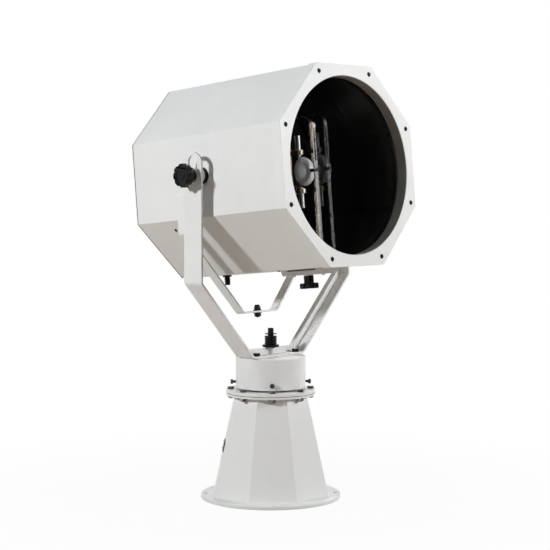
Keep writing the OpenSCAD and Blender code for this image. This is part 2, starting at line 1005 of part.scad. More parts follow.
module reflector_screws() {
  color(steel)
    on_barrel()
      translate([0, 0, rim_fwd - mirror_t])
        at_reflector_screws() {
          translate([0, 0, -bulkhead_t])
            cylinder(d = small_screw_d, h = bulkhead_t + mirror_t + eps, $fn = 24);
          translate([0, 0, mirror_t])
            cylinder(d = 2.4 * small_screw_d, h = 2.5, $fn = 24);
        }
}

// boss on the barrel's side, journal through the arm's slot, threaded stud beyond it
module trunnion() {
  boss_end = arm_in - run;
  sideways(inner_af / 2 - trunnion_nut_t - 3)
    cylinder(d = spigot_d, h = barrel_wall + trunnion_nut_t + 3 + eps);
  sideways(barrel_af / 2)
    cylinder(d = boss_d, h = boss_end - barrel_af / 2);
  sideways(boss_end - eps)
    cylinder(d = slot_w - 2 * run, h = arm_out + run - boss_end + eps);
  sideways(arm_out)
    cylinder(d = stud_d, h = knob_x - arm_out + stud_len);
}

module trunnion_left() {
  color(white)
    on_barrel()
      mirror([1, 0, 0])
        trunnion();
}

module trunnion_right() {
  color(white)
    on_barrel()
      trunnion();
}

module trunnion_nuts() {
  color(steel)
    on_barrel()
      both_sides()
        sideways(inner_af / 2 - trunnion_nut_t)
          difference() {
            hex(1.5 * spigot_d, trunnion_nut_t);
            translate([0, 0, -eps])
              cylinder(d = spigot_d + 2 * fit, h = trunnion_nut_t + 2 * eps);
          }
}

module clamp_washers() {
  color(steel)
    on_barrel()
      both_sides()
        sideways(washer_x)
          tube(washer_d / 2, stud_d / 2 + fit, washer_t);
}

// star knob standing on its hub, bored from below for a stud, with a ring groove in its face
module star_knob(d, hub_d, hub_h, head_h, bore_d, bore_h) {
  edge = 4;
  groove = 2.5;
  difference() {
    union() {
      cylinder(d = hub_d, h = hub_h + edge);
      translate([0, 0, hub_h])
        rotate_extrude() {
          square([d / 2 - edge, head_h]);
          translate([0, edge])
            square([d / 2, head_h - 2 * edge]);
          translate([d / 2 - edge, edge])
            circle(r = edge);
          translate([d / 2 - edge, head_h - edge])
            circle(r = edge);
        }
    }
    translate([0, 0, hub_h - eps])
      ring_of(lobes, d / 2 + lobe_r * 0.55, 180 / lobes)
        cylinder(r = lobe_r, h = head_h + 2 * eps, $fn = 32);
    translate([0, 0, hub_h + head_h - groove])
      tube(0.3 * d, 0.17 * d, groove + eps);
    translate([0, 0, -eps])
      cylinder(d = bore_d + 2 * fit, h = bore_h + eps, $fn = 32);
  }
}

module tilt_knob() {
  sideways(knob_x)
    star_knob(knob_d, knob_hub_d, knob_hub_h, knob_head_h, stud_d, stud_len + run);
}

module tilt_knob_left() {
  color(black)
    on_barrel()
      mirror([1, 0, 0])
        tilt_knob();
}

module tilt_knob_right() {
  color(black)
    on_barrel()
      tilt_knob();
}

module at_bracket_screws(x) {
  for (drop = bracket_holes)
    translate([0, -drop, -bracket_back])
      sideways(x)
        children();
}

module elevating_bracket() {
  color(white)
    on_barrel()
      difference() {
        translate([0, 0, -bracket_back])
          linear_extrude(height = bracket_w, center = true)
            strap_outline(
              bracket_foot, -bracket_drop, bracket_x, -bracket_bend,
              -bracket_top, bracket_t, bracket_bend_r
            );
        both_sides()
          at_bracket_screws(barrel_af / 2 - eps)
            cylinder(d = bracket_screw_d + 2 * fit, h = bracket_thread + run + eps, $fn = 32);
        facing_down(-bracket_drop + bracket_t + eps, -bracket_back)
          cylinder(d = bracket_bolt_d + 2 * bolt_play, h = bracket_t + 2 * eps, $fn = 32);
      }
}

// heads inside the barrel, threads in blind holes of the bracket's tabs
module bracket_screws() {
  color(steel)
    on_barrel()
      both_sides()
        at_bracket_screws(inner_af / 2 - bracket_head_t) {
          cylinder(d = 1.7 * bracket_screw_d, h = bracket_head_t, $fn = 32);
          cylinder(d = bracket_screw_d, h = bracket_head_t + barrel_wall + bracket_thread, $fn = 32);
        }
}

module bracket_bolt() {
  up = -bracket_drop + bracket_t + bracket_washer_t + 10;
  down = -bracket_drop - bracket_washer_t - 11;
  color(black)
    on_barrel()
      facing_down(up, -bracket_back)
        cylinder(d = bracket_bolt_d, h = up - down, $fn = 32);
}

module bracket_nuts() {
  color(black)
    on_barrel() {
      facing_down(-bracket_drop + bracket_t + bracket_washer_t, -bracket_back)
        mirror([0, 0, 1])
          difference() {
            union() {
              hex(bracket_nut_af, 7);
              cylinder(d = bracket_nut_af - 1, h = 9);
              translate([0, 0, 9])
                intersection() {
                  sphere(d = bracket_nut_af - 1, $fn = 32);
                  cylinder(d = bracket_nut_af, h = 5);
                }
            }
            translate([0, 0, -eps])
              cylinder(d = bracket_bolt_d + 2 * fit, h = 10 + run + eps, $fn = 32);
          }
      facing_down(-bracket_drop - bracket_washer_t, -bracket_back)
        difference() {
          hex(bracket_nut_af, 9);
          translate([0, 0, -eps])
            cylinder(d = bracket_bolt_d + 2 * fit, h = 9 + 2 * eps, $fn = 32);
        }
    }
}

module bracket_washers() {
  color(black)
    on_barrel()
      for (up = [-bracket_drop + bracket_t + bracket_washer_t, -bracket_drop])
        facing_down(up, -bracket_back)
          tube(bracket_nut_af * 0.7, bracket_bolt_d / 2 + fit, bracket_washer_t, $fn = 32);
}

module at_rail_screws(up) {
  for (s = [-1, 1])
    facing_down(up, rail_fwd + s * (rail_len / 2 - rail_screw_end))
      children();
}

module focus_rail() {
  color(white)
    on_barrel()
      difference() {
        translate([-rail_w / 2, belly_up, rail_fwd])
          rotate([0, 90, 0])
            mirror([1, 0, 0])
              linear_extrude(height = rail_w)
                rail_side(0);
        translate([-rail_w / 2 + rail_wall, belly_up, rail_fwd])
          rotate([0, 90, 0])
            mirror([1, 0, 0])
              linear_extrude(height = rail_w - 2 * rail_wall)
                rail_side(rail_wall);
        facing_down(rail_bottom + rail_wall + eps, rail_fwd)
          focus_slot(rail_wall + 2 * eps);
        at_rail_screws(rail_bottom + rail_wall + eps)
          cylinder(d = small_screw_d + 2 * bolt_play, h = rail_wall + 2 * eps, $fn = 24);
        translate([-rail_w, belly_up - rail_vent_drop - rail_vent_h, rail_fwd - rail_len / 2 + rail_vent_end])
          cube([2 * rail_w, rail_vent_h, rail_len - 2 * rail_vent_end]);
      }
}

// side view of the tray: long side against the barrel, sloping ends
module rail_side(inset) {
  half = rail_len / 2 - inset;
  slope = rail_h / 2;
  top = inset > 0 ? eps : 0;
  low = inset - rail_h;
  polygon([
    [-half, top],
    [half, top],
    [half - slope, low],
    [-half + slope, low]
  ]);
}

module rail_screws() {
  color(steel)
    on_barrel() {
      at_rail_screws(floor_up)
        cylinder(d = small_screw_d, h = rail_h + barrel_wall + eps, $fn = 24);
      at_rail_screws(rail_bottom)
        cylinder(d = 1.8 * small_screw_d, h = 3, $fn = 24);
    }
}

module carriage_guides() {
  side = carriage_w / 2 + run;
  lip_up = deck_up + run;
  len = carriage_front - carriage_back + 2 * focus_travel + 10;
  color(steel)
    on_barrel()
      both_sides()
        translate([0, 0, (carriage_front + carriage_back - len) / 2]) {
          translate([side, floor_up, 0])
            cube([guide_t, lip_up - floor_up + 4, len]);
          translate([side - guide_lip, lip_up, 0])
            cube([guide_lip + guide_t, 4, len]);
        }
}

module cable_gland() {
  rib = gland_h / 5;
  color(black)
    on_barrel()
      facing_down(belly_up, -gland_back)
        difference() {
          union() {
            translate([0, 0, -barrel_wall - 9])
              cylinder(d = gland_thread_d, h = barrel_wall + 9 + eps, $fn = 32);
            hex(gland_d + 5, gland_hex_t);
            cylinder(d = gland_d - 4, h = gland_hex_t + gland_h, $fn = 32);
            for (i = [0:4])
              translate([0, 0, gland_hex_t + (i + 0.3) * rib])
                cylinder(d = gland_d - 0.6 * i, h = 0.7 * rib, $fn = 32);
          }
          translate([0, 0, -barrel_wall - 9 - eps])
            cylinder(d = gland_bore_d, h = barrel_wall + 9 + gland_hex_t + gland_h + 2 * eps, $fn = 32);
        }
}

module gland_nut() {
  color(steel)
    on_barrel()
      facing_down(floor_up + 6, -gland_back)
        difference() {
          hex(gland_d + 5, 6);
          translate([0, 0, -eps])
            cylinder(d = gland_thread_d + 2 * fit, h = 6 + 2 * eps, $fn = 32);
        }
}

module carriage_plate() {
  color(steel)
    on_barrel()
      difference() {
        translate([-carriage_w / 2, carriage_up, carriage_back])
          cube([carriage_w, carriage_t, carriage_front - carriage_back]);
        facing_down(deck_up + eps, rail_fwd)
          cylinder(d = focus_d + 2 * fit, h = carriage_t + 2 * eps, $fn = 32);
        facing_down(deck_up + eps, lamp_fwd + post_fwd - foot_hole)
          cylinder(d = small_screw_d + 2 * fit, h = carriage_t + 2 * eps, $fn = 24);
      }
}

// flat slotted strip with a foot turned back on the carriage
module lamp_post() {
  slot_low = 25;
  slot_high = post_rise - 24;
  color(steel)
    on_barrel()
      difference() {
        union() {
          translate([-post_w / 2, deck_up, lamp_fwd + post_fwd - post_t / 2])
            cube([post_w, post_rise - deck_up, post_t]);
          translate([-post_w / 2, deck_up, lamp_fwd + post_fwd - foot_hole - 10])
            cube([post_w, post_t, foot_hole + 10]);
        }
        translate([-post_slot_w / 2, slot_low, lamp_fwd + post_fwd - post_t])
          cube([post_slot_w, slot_high - slot_low, 2 * post_t]);
        translate([0, 0, lamp_fwd + post_fwd - post_t])
          for (up = [0, post_hole_up])
            translate([0, up, 0])
              cylinder(d = small_screw_d + 2 * fit, h = 2 * post_t, $fn = 24);
        facing_down(deck_up + post_t + eps, lamp_fwd + post_fwd - foot_hole)
          cylinder(d = small_screw_d + 2 * bolt_play, h = post_t + 2 * eps, $fn = 24);
      }
}

module post_screws() {
  head_h = 3;
  color(steel)
    on_barrel() {
      facing_down(deck_up + post_t + head_h, lamp_fwd + post_fwd - foot_hole) {
        cylinder(d = 2 * small_screw_d, h = head_h, $fn = 24);
        cylinder(d = small_screw_d, h = head_h + post_t + carriage_t - run, $fn = 24);
      }
      translate([0, post_hole_up, lamp_fwd + post_fwd + post_t / 2]) {
        cylinder(d = 2 * small_screw_d, h = head_h, $fn = 24);
        translate([0, 0, -post_t - strap_t - 2])
          cylinder(d = small_screw_d, h = post_t + strap_t + 2 + eps, $fn = 24);
      }
    }
}

module shield_mirror() {
  rim = sqrt(shield_r * shield_r - shield_d * shield_d / 4);
  color(steel)
    on_barrel()
      translate([0, 0, lamp_fwd])
        difference() {
          sphere(r = shield_r);
          sphere(r = shield_r - 1.5);
          translate([0, 0, rim - 2 * shield_r])
            cylinder(r = 2 * shield_r, h = 2 * shield_r);
          cylinder(d = small_screw_d + 2 * fit, h = 2 * shield_r, $fn = 24);
        }
}

// stud from inside the dome to the front of the post, with a nut-like head at each end
module mirror_stud() {
  front = post_fwd + post_t / 2;
  color(steel)
    on_barrel()
      translate([0, 0, lamp_fwd]) {
        translate([0, 0, shield_r - 4])
          cylinder(d = small_screw_d, h = front - shield_r + 4 + eps, $fn = 24);
        translate([0, 0, shield_r])
          cylinder(d = 2 * small_screw_d, h = front - post_t - shield_r, $fn = 24);
        translate([0, 0, front])
          cylinder(d = 1.8 * small_screw_d, h = 3.5, $fn = 24);
      }
}

// upright behind the lamp, two eyes round the lamp's caps and a bridge strap to the post
module lamp_frame() {
  col = -frame_back;
  post_back = post_fwd - post_t / 2;
  chord = post_back - fit - strap_t / 2 - col;
  strap_r = (chord * chord / 4 + strap_rise * strap_rise) / 2 / strap_rise;
  half = asin(chord / 2 / strap_r);
  color(brass)
    on_barrel()
      translate([0, 0, lamp_fwd])
        difference() {
          union() {
            translate([-frame_w / 2, deck_up, col - frame_t / 2])
              cube([frame_w, post_rise - deck_up, frame_t]);
            for (up = [eye_up, -eye_up]) {
              translate([-frame_w / 2 + 2, up - eye_t / 2, col])
                cube([frame_w - 4, eye_t, frame_back]);
              facing_down(up + eye_t / 2, 0)
                cylinder(d = eye_d, h = eye_t, $fn = 32);
            }
            translate([strap_w / 2, post_rise - strap_sink + strap_rise - strap_r, col + chord / 2])
              rotate([0, -90, 0])
                rotate(90 - half)
                  rotate_extrude(angle = 2 * half)
                    translate([strap_r - strap_t, 0])
                      square([strap_t, strap_w]);
            translate([-strap_w / 2, post_hole_up - 8, post_back - strap_t - fit])
              cube([strap_w, post_rise - post_hole_up + 8, strap_t]);
          }
          for (up = [eye_up, -eye_up])
            facing_down(up + eye_t, 0)
              cylinder(d = cap_d + 2 * fit, h = 2 * eye_t, $fn = 32);
          translate([0, post_hole_up, post_back - strap_t - eps])
            cylinder(d = small_screw_d + 2 * fit, h = strap_t + 2 * eps, $fn = 24);
        }
}

module at_lamp() {
  on_barrel()
    translate([0, 0, lamp_fwd])
      rotate([-90, 0, 0])
        children();
}

module lamp_bulb() {
  reach = cap_up + 8;
  color([0.9, 0.9, 0.85, 0.5])
    at_lamp() {
      sphere(d = bulb_d, $fn = 32);
      translate([0, 0, -reach])
        cylinder(d = stem_d, h = 2 * reach, $fn = 32);
    }
}

module lamp_caps() {
  color(steel)
    at_lamp()
      for (s = [0, 1])
        mirror([0, 0, s])
          translate([0, 0, cap_up])
            difference() {
              cylinder(d = cap_d, h = cap_h, $fn = 32);
              translate([0, 0, -eps])
                cylinder(d = stem_d + 2 * fit, h = 8 + fit + eps, $fn = 32);
            }
}

module focus_stud() {
  len = focus_hub_h + focus_head_h - 4;
  color(steel)
    on_barrel() {
      facing_down(deck_up + 4, rail_fwd)
        cylinder(d = focus_d, h = deck_up + 4 - focus_top + len, $fn = 32);
      facing_down(deck_up + 4, rail_fwd)
        cylinder(d = 1.6 * focus_d, h = 4, $fn = 32);
      facing_down(rail_bottom - run, rail_fwd)
        cylinder(d = knob_hub_d, h = focus_washer_t, $fn = 32);
    }
}

module focus_knob() {
  color(black)
    on_barrel()
      facing_down(focus_top, rail_fwd)
        star_knob(
          focus_knob_d, knob_hub_d, focus_hub_h, focus_head_h,
          focus_d, focus_hub_h + focus_head_h - 4 + run
        );
}

base_flange();
pedestal_shell();
pedestal_ring();
flange_seal();
spindle();
ring_bolts();
ring_nuts();
bearing_inner_rings();
bearing_balls();
spindle_nut();
turntable_drum();
bearing_outer_rings();
bearing_retainer();
retainer_screws();
pan_lock_screws();
yoke();
yoke_bolts();
cable_nipple();
cable_boot();
barrel_shell();
front_bezel();
bezel_seal();
glass_seal();
glass_ring();
front_glass();
glass_retainer();
bezel_screws();
rear_cover();
rear_seal();
rear_screws();
reflector();
reflector_bulkhead();
reflector_screws();
trunnion_left();
trunnion_right();
trunnion_nuts();
clamp_washers();
elevating_bracket();
bracket_screws();
bracket_bolt();
bracket_nuts();
bracket_washers();
focus_rail();
rail_screws();
carriage_guides();
cable_gland();
gland_nut();
carriage_plate();
lamp_post();
post_screws();
shield_mirror();
mirror_stud();
lamp_frame();
lamp_bulb();
lamp_caps();
focus_stud();
tilt_knob_left();
tilt_knob_right();
focus_knob();
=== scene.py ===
import json
import math

import bpy
from mathutils import Matrix, Vector


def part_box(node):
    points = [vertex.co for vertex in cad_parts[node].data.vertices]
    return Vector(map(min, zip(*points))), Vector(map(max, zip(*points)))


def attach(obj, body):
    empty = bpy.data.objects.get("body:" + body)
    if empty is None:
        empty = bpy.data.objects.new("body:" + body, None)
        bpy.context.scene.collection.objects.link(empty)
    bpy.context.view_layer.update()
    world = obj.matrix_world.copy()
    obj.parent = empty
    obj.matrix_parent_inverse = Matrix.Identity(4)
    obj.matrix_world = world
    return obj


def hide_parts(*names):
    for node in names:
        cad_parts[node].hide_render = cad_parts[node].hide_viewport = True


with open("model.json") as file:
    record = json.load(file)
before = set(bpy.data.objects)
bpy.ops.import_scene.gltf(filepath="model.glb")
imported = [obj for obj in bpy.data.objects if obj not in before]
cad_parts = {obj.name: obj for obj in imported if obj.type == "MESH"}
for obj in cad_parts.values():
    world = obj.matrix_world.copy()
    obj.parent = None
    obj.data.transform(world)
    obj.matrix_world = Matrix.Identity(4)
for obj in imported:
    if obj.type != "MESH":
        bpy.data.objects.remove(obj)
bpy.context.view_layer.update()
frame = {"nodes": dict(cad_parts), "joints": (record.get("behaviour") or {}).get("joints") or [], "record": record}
nodes = frame["nodes"]
record = frame["record"]
joints = {joint["name"]: joint for joint in frame["joints"]}
bodyOfNode = {node: body for body, held in record["behaviour"]["bodies"].items() for node in held}
slotOfNode = {part["node"]: part["material_slot"] for part in record["subparts"]}

# the barrel's own directions: along the beam, up, and the tilt axis they turn about
sideways = Vector((1, 0, 0))
upright = Vector((0, 0, 1))
beam = Vector(joints["focus"]["axis"])
barrelUp = Vector((0, beam.z, -beam.y))
pivot = Vector(joints["tilt"]["pos_m"])
barrelAxes = (sideways, barrelUp, beam)
worldAxes = (sideways, Vector((0, 1, 0)), upright)
print("frame loaded:", len(nodes), "nodes")


# small tools that the pieces share: metres, degrees and digits
toolLimits = {
    "mergeDistance": 0.000005, "flatAngle": 0.4, "roundFrom": 30, "facing": 0.9, "parallel": 0.01,
    "pointDigits": 5, "sortDigits": 4,
}


def deselectAll():
    if bpy.context.object and bpy.context.object.mode != "OBJECT":
        bpy.ops.object.mode_set(mode="OBJECT")
    bpy.ops.object.select_all(action="DESELECT")


def pick(piece):
    deselectAll()
    piece.select_set(True)
    bpy.context.view_layer.objects.active = piece


def startPiece(name):
    piece = bpy.context.object
    piece.name = name
    return piece


def editMode():
    bpy.ops.object.mode_set(mode="EDIT")
    bpy.ops.mesh.select_mode(type="FACE")
    bpy.ops.mesh.select_all(action="SELECT")


def objectMode():
    bpy.ops.object.mode_set(mode="OBJECT")


def selectFaces(piece, test):
    objectMode()
    for polygon in piece.data.polygons:
        polygon.select = test(polygon)
    bpy.ops.object.mode_set(mode="EDIT")


def applyModifier(kind, **values):
    piece = bpy.context.object
    bpy.ops.object.modifier_add(type=kind)
    modifier = piece.modifiers[-1]
    for key, value in values.items():
        setattr(modifier, key, value)
    bpy.ops.object.modifier_apply(modifier=modifier.name)


def roundEdges(width, steps=2):
    applyModifier(
        "BEVEL", width=width, segments=steps, limit_method="ANGLE",
        angle_limit=math.radians(toolLimits["roundFrom"]), use_clamp_overlap=False,
    )


def applyPlace():
    bpy.ops.object.transform_apply(location=True, rotation=True, scale=True)


def placePiece(piece, matrix):
    piece.matrix_world = matrix
    pick(piece)
    applyPlace()


def setMaterial(piece, material):
    piece.data.materials.clear()
    piece.data.materials.append(material)


def finishPiece(piece, body, material, smoothAngle=35):
    pick(piece)
    bpy.ops.object.shade_smooth_by_angle(angle=math.radians(smoothAngle))
    applyModifier("WEIGHTED_NORMAL", keep_sharp=True)
    setMaterial(piece, material)
    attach(piece, body)


def joinPieces(name, pieces):
    deselectAll()
    for piece in pieces:
        piece.select_set(True)
    bpy.context.view_layer.objects.active = pieces[0]
    bpy.ops.object.join()
    return startPiece(name)


def copyPiece(piece):
    pick(piece)
    bpy.ops.object.duplicate()
    return bpy.context.object


def standOn(point, up, side=upright):
    # matrix with z along up and y as near to side as it can be
    z = up.normalized()
    x = side.cross(z)
    if x.length < toolLimits["parallel"]:
        x = sideways.cross(z)
    x.normalize()
    y = z.cross(x)
    return Matrix.Translation(point) @ Matrix((x, y, z)).transposed().to_4x4()


def outwardAt(bearing):
    # level direction, its angle counted from the x axis
    return Matrix.Rotation(math.radians(bearing), 3, "Z") @ sideways


def alongAxes(axes, values):
    return sum((axis * value for axis, value in zip(axes, values)), Vector())


def solidSpans(nodeName, axes):
    # low and high end of each separate solid of a node along three directions
    mesh = nodes[nodeName].data
    keys = [tuple(round(c, toolLimits["pointDigits"]) for c in v.co) for v in mesh.vertices]
    parent = {key: key for key in keys}

    def root(key):
        while parent[key] != key:
            parent[key] = parent[parent[key]]
            key = parent[key]
        return key

    for polygon in mesh.polygons:
        first = root(keys[polygon.vertices[0]])
        for index in polygon.vertices[1:]:
            parent[root(keys[index])] = first
    groups = {}
    for key in set(keys):
        groups.setdefault(root(key), []).append(Vector(key))
    spans = []
    for points in groups.values():
        along = [[axis.dot(point) for point in points] for axis in axes]
        low = Vector([min(values) for values in along])
        high = Vector([max(values) for values in along])
        spans.append((low, high))
    digits = toolLimits["sortDigits"]
    return sorted(spans, key=lambda span: tuple(round(value, digits) for value in span[0]))


# shader groups for effects that more than one finish uses

def newGroup(name, inputs, outputs):
    group = bpy.data.node_groups.new(name, "ShaderNodeTree")
    for label, value in inputs.items():
        socket = group.interface.new_socket(name=label, in_out="INPUT", socket_type="NodeSocketFloat")
        socket.default_value = value
    for label in outputs:
        group.interface.new_socket(name=label, in_out="OUTPUT", socket_type="NodeSocketFloat")
    groupIn = group.nodes.new("NodeGroupInput")
    groupOut = group.nodes.new("NodeGroupOutput")
    return group, groupIn.outputs, groupOut.inputs


def addNode(tree, kind, **values):
    node = tree.nodes.new(kind)
    for key, value in values.items():
        setattr(node, key, value)
    return node


def feed(tree, socket, value):
    # an output is linked to the socket, a number or a colour is set on it
    if isinstance(value, bpy.types.NodeSocket):
        tree.links.new(value, socket)
    else:
        socket.default_value = value


def mathNode(tree, operation, first, second=None, clamp=False):
    node = addNode(tree, "ShaderNodeMath", operation=operation, use_clamp=clamp)
    feed(tree, node.inputs[0], first)
    if second is not None:
        feed(tree, node.inputs[1], second)
    return node.outputs[0]


def mapRange(tree, value, fromLow, fromHigh, toLow, toHigh):
    node = addNode(tree, "ShaderNodeMapRange")
    feed(tree, node.inputs["Value"], value)
    feed(tree, node.inputs["From Min"], fromLow)
    feed(tree, node.inputs["From Max"], fromHigh)
    feed(tree, node.inputs["To Min"], toLow)
    feed(tree, node.inputs["To Max"], toHigh)
    return node.outputs["Result"]


def objectPlace(tree):
    return addNode(tree, "ShaderNodeTexCoord").outputs["Object"]


def noiseNode(tree, scale, detail, rough):
    node = addNode(tree, "ShaderNodeTexNoise")
    feed(tree, node.inputs["Scale"], scale)
    feed(tree, node.inputs["Detail"], detail)
    feed(tree, node.inputs["Roughness"], rough)
    feed(tree, node.inputs["Vector"], objectPlace(tree))
    return node.outputs["Fac"]


mottleLook = {
    "wideDetail": 4, "wideRough": 0.55, "wideShare": 0.7,
    "narrowStep": 9.0, "narrowDetail": 3, "narrowRough": 0.6, "narrowShare": 0.3,
    "cloudLow": 0.3, "cloudHigh": 0.7, "skinDetail": 2, "skinRough": 0.5,
}


def mottleGroup():
    # two sizes of cloudy variation for a coat's colour, and its fine skin for the bump
    look = mottleLook
    group, given, put = newGroup("coatMottle", {"Cloud Scale": 4, "Skin Scale": 600}, ("Cloud", "Skin"))
    wide = noiseNode(group, given["Cloud Scale"], look["wideDetail"], look["wideRough"])
    narrowScale = mathNode(group, "MULTIPLY", given["Cloud Scale"], look["narrowStep"])
    narrow = noiseNode(group, narrowScale, look["narrowDetail"], look["narrowRough"])
    mixed = mathNode(
        group, "ADD",
        mathNode(group, "MULTIPLY", wide, look["wideShare"]),
        mathNode(group, "MULTIPLY", narrow, look["narrowShare"]),
    )
    feed(group, put["Cloud"], mapRange(group, mixed, look["cloudLow"], look["cloudHigh"], 0, 1))
    feed(group, put["Skin"], noiseNode(group, given["Skin Scale"], look["skinDetail"], look["skinRough"]))
    return group


dustLook = {"leastUpward": 0.35, "speckDetail": 6, "speckRough": 0.65, "speckLow": 0.42, "speckHigh": 0.75}


def dustGroup():
    # dust that settles on faces turned upwards, broken up by noise
    look = dustLook
    group, given, put = newGroup("settledDust", {"Amount": 0.3, "Speck Scale": 60}, ("Mask",))
    split = addNode(group, "ShaderNodeSeparateXYZ")
    feed(group, split.inputs[0], addNode(group, "ShaderNodeNewGeometry").outputs["Normal"])
    upward = mapRange(group, split.outputs["Z"], look["leastUpward"], 1, 0, 1)
    noise = noiseNode(group, given["Speck Scale"], look["speckDetail"], look["speckRough"])
    specks = mapRange(group, noise, look["speckLow"], look["speckHigh"], 0, 1)
    settled = mathNode(group, "MULTIPLY", upward, specks)
    feed(group, put["Mask"], mathNode(group, "MULTIPLY", settled, given["Amount"], clamp=True))
    return group


mottle = mottleGroup()
dust = dustGroup()


# finishes: colours, roughness between two ends, noise scales per metre, bump heights in metres

def useGroup(tree, group, **values):
    node = addNode(tree, "ShaderNodeGroup", node_tree=group)
    for label, value in values.items():
        node.inputs[label.replace("_", " ")].default_value = value
    return node.outputs


def newFinish(name, **values):
    material = bpy.data.materials.new(name)
    material.use_nodes = True
    tree = material.node_tree
    shader = tree.nodes["Principled BSDF"].inputs
    for label, value in values.items():
        shader[label.replace("_", " ")].default_value = value
    return material, tree, shader


def mixColours(tree, factor, first, second):
    node = addNode(tree, "ShaderNodeMix", data_type="RGBA")
    feed(tree, node.inputs["Factor"], factor)
    feed(tree, node.inputs["A"], first)
    feed(tree, node.inputs["B"], second)
    return node.outputs["Result"]


def roughFrom(tree, cloud, look):
    return mapRange(tree, cloud, 0, 1, look["roughLow"], look["roughHigh"])


def bumpFrom(tree, height, strength, distance):
    bump = addNode(tree, "ShaderNodeBump")
    feed(tree, bump.inputs["Strength"], strength)
    feed(tree, bump.inputs["Distance"], distance)
    feed(tree, bump.inputs["Height"], height)
    return bump.outputs["Normal"]


def grey(level, warm=0.0):
    return (level, level * (1 - warm), level * (1 - 2 * warm), 1)


enamelLook = {
    "light": (0.83, 0.83, 0.825, 1), "deep": (0.78, 0.78, 0.775, 1), "dusty": (0.66, 0.64, 0.60, 1),
    "roughLow": 0.34, "roughHigh": 0.46, "cloudScale": 5.0, "dust": 0.10, "speckScale": 70.0,
    "skinScale": 420.0, "skin": 0.02, "skinHeight": 0.0005,
}


def enamelCoat(tree):
    look = enamelLook
    coat = useGroup(tree, mottle, Cloud_Scale=look["cloudScale"], Skin_Scale=look["skinScale"])
    settled = useGroup(tree, dust, Amount=look["dust"], Speck_Scale=look["speckScale"])
    painted = mixColours(tree, coat["Cloud"], look["light"], look["deep"])
    colour = mixColours(tree, settled["Mask"], painted, look["dusty"])
    rough = roughFrom(tree, coat["Cloud"], look)
    normal = bumpFrom(tree, coat["Skin"], look["skin"], look["skinHeight"])
    return colour, rough, normal


def whiteEnamel():
    material, tree, shader = newFinish("whiteEnamel")
    colour, rough, normal = enamelCoat(tree)
    feed(tree, shader["Base Color"], colour)
    feed(tree, shader["Roughness"], rough)
    feed(tree, shader["Normal"], normal)
    return material


barrelCoat = {"inside": (0.003, 0.003, 0.0035, 1), "insideRough": 0.80, "gloss": 0.15, "depth": 0.0012}


def barrelEnamel():
    # white outside, matt black inside the wall: told apart by the distance from the beam axis
    material, tree, shader = newFinish("barrelEnamel", Specular_IOR_Level=barrelCoat["gloss"])
    colour, rough, normal = enamelCoat(tree)
    shift = addNode(tree, "ShaderNodeVectorMath", operation="SUBTRACT")
    feed(tree, shift.inputs[0], objectPlace(tree))
    feed(tree, shift.inputs[1], pivot)
    reach = 0.0
    for angle in (0, 45, 90, 135):  # the octagon's four pairs of sides
        side = sideways * math.cos(math.radians(angle)) + barrelUp * math.sin(math.radians(angle))
        along = addNode(tree, "ShaderNodeVectorMath", operation="DOT_PRODUCT")
        feed(tree, along.inputs[0], shift.outputs[0])
        feed(tree, along.inputs[1], side)
        reach = mathNode(tree, "MAXIMUM", reach, mathNode(tree, "ABSOLUTE", along.outputs["Value"]))
    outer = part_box("barrel_shell")[1].x
    inside = mathNode(tree, "LESS_THAN", reach, outer - barrelCoat["depth"])
    feed(tree, shader["Base Color"], mixColours(tree, inside, colour, barrelCoat["inside"]))
    feed(tree, shader["Roughness"], mapRange(tree, inside, 0, 1, rough, barrelCoat["insideRough"]))
    feed(tree, shader["Normal"], normal)
    return material


darkCoat = {"cloudScale": 22.0, "speckScale": 160.0, "dusty": grey(0.30, 0.05), "skinHeight": 0.0005}
darkFinishes = {
    "black_plastic": {
        "name": "blackPlastic", "colour": (0.004, 0.004, 0.0045), "lift": 2.0, "gloss": 0.16,
        "roughLow": 0.14, "roughHigh": 0.22, "skinScale": 1400.0, "skin": 0.04, "dust": 0.02,
    },
    "black_rubber": {
        "name": "blackRubber", "colour": (0.004, 0.004, 0.004), "lift": 2.2, "gloss": 0.16,
        "roughLow": 0.40, "roughHigh": 0.55, "skinScale": 900.0, "skin": 0.18, "dust": 0.03,
    },
    "black_steel": {
        "name": "blackSteel", "colour": (0.007, 0.007, 0.008), "lift": 2.2, "gloss": 0.22,
        "roughLow": 0.28, "roughHigh": 0.42, "skinScale": 800.0, "skin": 0.10, "dust": 0.04,
    },
    "matt_black": {
        "name": "mattBlack", "colour": (0.004, 0.004, 0.004), "lift": 1.6, "gloss": 0.1,
        "roughLow": 0.75, "roughHigh": 0.88, "skinScale": 500.0, "skin": 0.15, "dust": 0.02,
    },
    "grey_rubber": {
        "name": "greyRubber", "colour": (0.32, 0.31, 0.28), "lift": 1.2, "gloss": 0.5,
        "roughLow": 0.55, "roughHigh": 0.70, "skinScale": 700.0, "skin": 0.15, "dust": 0.05,
    },
}


def darkFinish(look):
    # moulded or blackened pieces: one colour, a little lighter in clouds, dust on top
    material, tree, shader = newFinish(look["name"], Specular_IOR_Level=look["gloss"])
    coat = useGroup(tree, mottle, Cloud_Scale=darkCoat["cloudScale"], Skin_Scale=look["skinScale"])
    settled = useGroup(tree, dust, Amount=look["dust"], Speck_Scale=darkCoat["speckScale"])
    lifted = tuple(part * look["lift"] for part in look["colour"])
    base = mixColours(tree, coat["Cloud"], look["colour"] + (1,), lifted + (1,))
    feed(tree, shader["Base Color"], mixColours(tree, settled["Mask"], base, darkCoat["dusty"]))
    feed(tree, shader["Roughness"], roughFrom(tree, coat["Cloud"], look))
    feed(tree, shader["Normal"], bumpFrom(tree, coat["Skin"], look["skin"], darkCoat["skinHeight"]))
    return material


